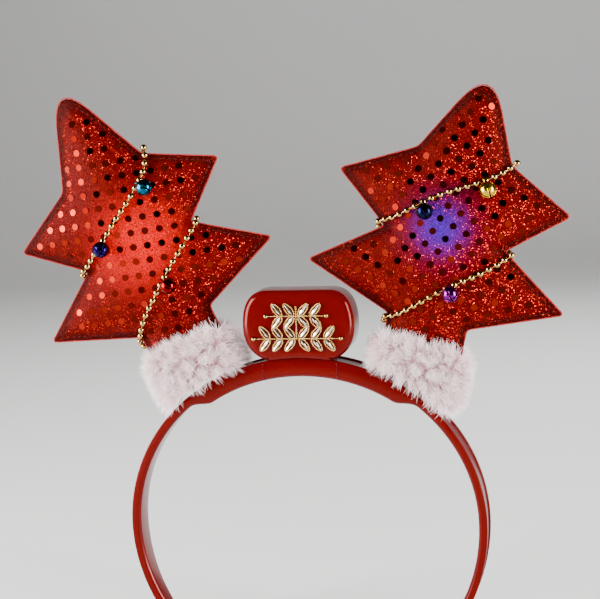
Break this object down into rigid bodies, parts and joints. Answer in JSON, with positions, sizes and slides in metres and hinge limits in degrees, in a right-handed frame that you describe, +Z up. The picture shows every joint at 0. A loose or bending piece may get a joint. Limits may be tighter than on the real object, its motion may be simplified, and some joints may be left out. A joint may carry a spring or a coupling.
{
  "type": "christmas tree headband",
  "caption": "Red plastic headband with a light box and padded sequinned trees that stand in fur cuffs, wound with gold beads and bells.",
  "frame": {"origin": "the middle of the inner face of the band's crown, where the band rests on top of a head", "axes": "+Z up as worn, -Y out of the front with the ornament, +X to the right of someone looking at the front"},
  "size_m": [0.2442, 0.0324, 0.2455],
  "materials": {
    "red_plastic": "glossy",
    "gold": "polished, plated plastic",
    "sequin_cloth": "glitter knit with flat foil dots",
    "white_fur": "short plush pile",
    "gold_bead": "shiny, plated plastic",
    "teal_metal": "lacquered",
    "navy_metal": "lacquered",
    "red_metal": "lacquered",
    "gold_metal": "polished",
    "dark_blue_metal": "lacquered",
    "violet_metal": "lacquered"
  },
  "bodies": {
    "root": {"headband": "red_plastic", "light_box": "red_plastic", "badge": "gold", "tree_left": "sequin_cloth", "tree_right": "sequin_cloth", "fur_cuff_left": "white_fur", "fur_cuff_right": "white_fur", "bead_string_left": "gold_bead", "bead_string_right": "gold_bead", "bell_teal": "teal_metal", "bell_navy": "navy_metal", "bell_red": "red_metal", "bell_gold": "gold_metal", "bell_dark_blue": "dark_blue_metal", "bell_violet": "violet_metal"}
  },
  "joints": []
}
